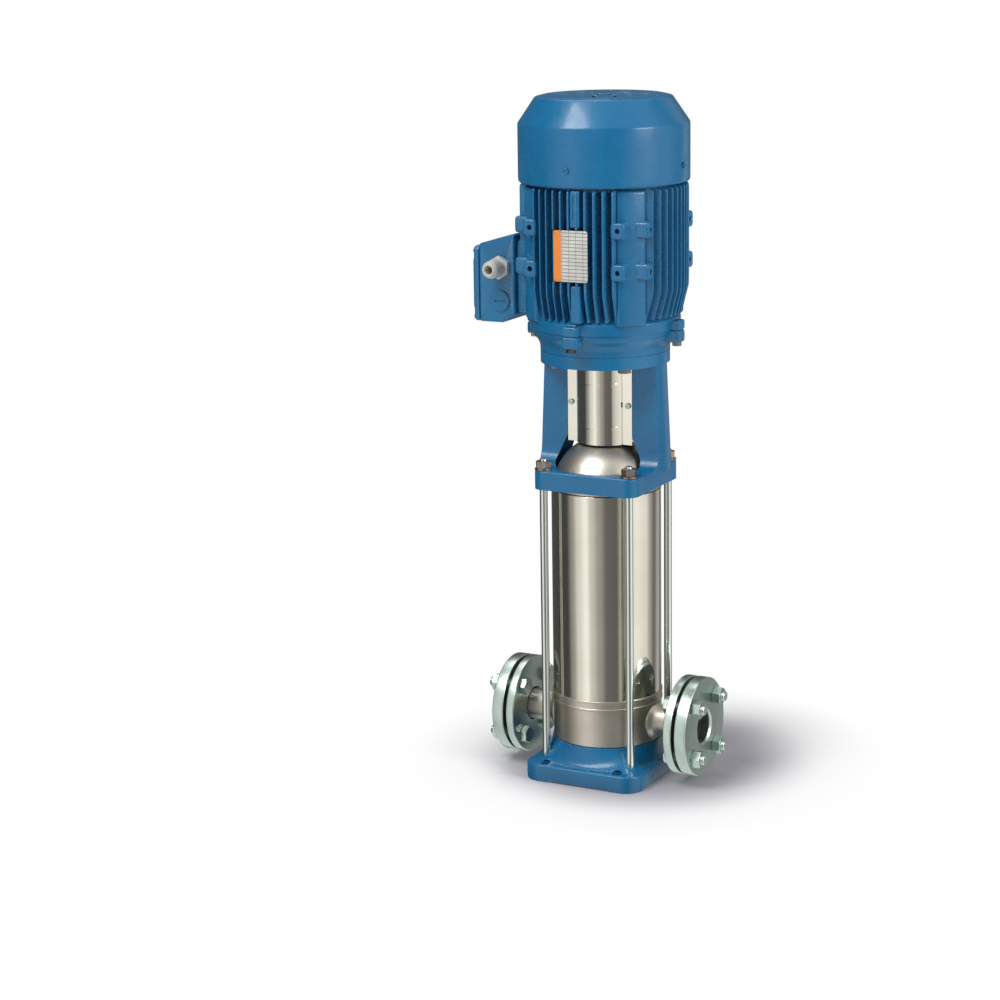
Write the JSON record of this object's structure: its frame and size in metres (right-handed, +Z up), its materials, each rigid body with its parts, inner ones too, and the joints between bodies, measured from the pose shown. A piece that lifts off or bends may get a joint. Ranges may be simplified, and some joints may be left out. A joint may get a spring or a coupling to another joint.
{
  "type": "vertical multistage pump",
  "caption": "Vertical in-line centrifugal pump: flanged casing on a square base, long stainless jacket under tie rods, lantern with guarded coupling, finned electric motor on top.",
  "frame": {"origin": "centre of the base's underside, midway between the foundation holes", "axes": "+Z up the shaft; +X towards the delivery flange; -Y towards the nameplate and the cable gland"},
  "size_m": [0.372, 0.258, 1.0285],
  "materials": {
    "painted_casting": "gloss enamel over sand-cast iron",
    "painted_sheet": "gloss enamel over pressed steel sheet",
    "satin_stainless": "satin",
    "polished_stainless": "bright polished",
    "zinc_steel": "zinc plated, machined",
    "dark_steel": "plain, slightly oily",
    "black_rubber": "matte",
    "carbon": "lapped carbon",
    "bearing_steel": "ground",
    "electrical_steel": "stacked laminations",
    "varnished_copper": "varnished",
    "grey_plastic": "moulded",
    "dark_plastic": "moulded",
    "plate_metal": "printed aluminium"
  },
  "bodies": {
    "pump_body": {"base": "painted_casting", "lantern_bracket": "painted_casting", "drive_end_shield": "painted_casting", "motor_frame": "painted_casting", "rear_end_shield": "painted_casting", "terminal_box": "painted_casting", "terminal_lid": "painted_casting", "blanking_plug": "painted_casting", "fan_cover": "painted_sheet", "pump_casing": "satin_stainless", "upper_cover": "satin_stainless", "stage_casings": "satin_stainless", "delivery_spacer": "satin_stainless", "outer_jacket": "polished_stainless", "coupling_guard_front": "polished_stainless", "coupling_guard_rear": "polished_stainless", "tie_rods": "zinc_steel", "suction_loose_flange": "zinc_steel", "delivery_loose_flange": "zinc_steel", "suction_counter_flange": "zinc_steel", "delivery_counter_flange": "zinc_steel", "flange_bolts": "zinc_steel", "flange_nuts": "zinc_steel", "drain_plug": "satin_stainless", "small_screws": "zinc_steel", "shield_screws": "dark_steel", "motor_flange_screws": "dark_steel", "tie_rod_nuts": "dark_steel", "jacket_seals": "black_rubber", "flange_gaskets": "black_rubber", "bearing_bush": "carbon", "seal_seat": "carbon", "bearing_outer_rings": "bearing_steel", "stator_core": "electrical_steel", "stator_windings": "varnished_copper", "cable_gland": "grey_plastic", "terminal_block": "dark_plastic", "nameplate": "plate_metal"},
    "rotor": {"pump_shaft": "satin_stainless", "shaft_nut": "satin_stainless", "shaft_sleeve": "satin_stainless", "seal_head": "satin_stainless", "coupling_half_front": "dark_steel", "coupling_half_rear": "dark_steel", "coupling_screws": "zinc_steel", "bearing_inner_rings": "bearing_steel", "motor_shaft": "bearing_steel", "rotor_core": "electrical_steel", "fan": "dark_plastic", "impeller_1": "satin_stainless", "impeller_2": "satin_stainless", "impeller_3": "satin_stainless", "impeller_4": "satin_stainless", "impeller_5": "satin_stainless", "impeller_6": "satin_stainless", "impeller_7": "satin_stainless", "impeller_8": "satin_stainless", "impeller_9": "satin_stainless", "impeller_10": "satin_stainless"},
    "ball_cages": {"bearing_cages": "bearing_steel"}
  },
  "joints": [
    {"name": "rotor_spin", "type": "hinge", "parent": "pump_body", "child": "rotor", "pos_m": [0, 0, 0.606], "axis": [0, 0, 1], "continuous": true},
    {"name": "ball_cage_orbit", "type": "hinge", "parent": "pump_body", "child": "ball_cages", "pos_m": [0, 0, 0.679], "axis": [0, 0, 1], "continuous": true}
  ],
  "couplings": [
    {"joint": "ball_cage_orbit", "follows": "rotor_spin", "ratio": 0.4}
  ]
}
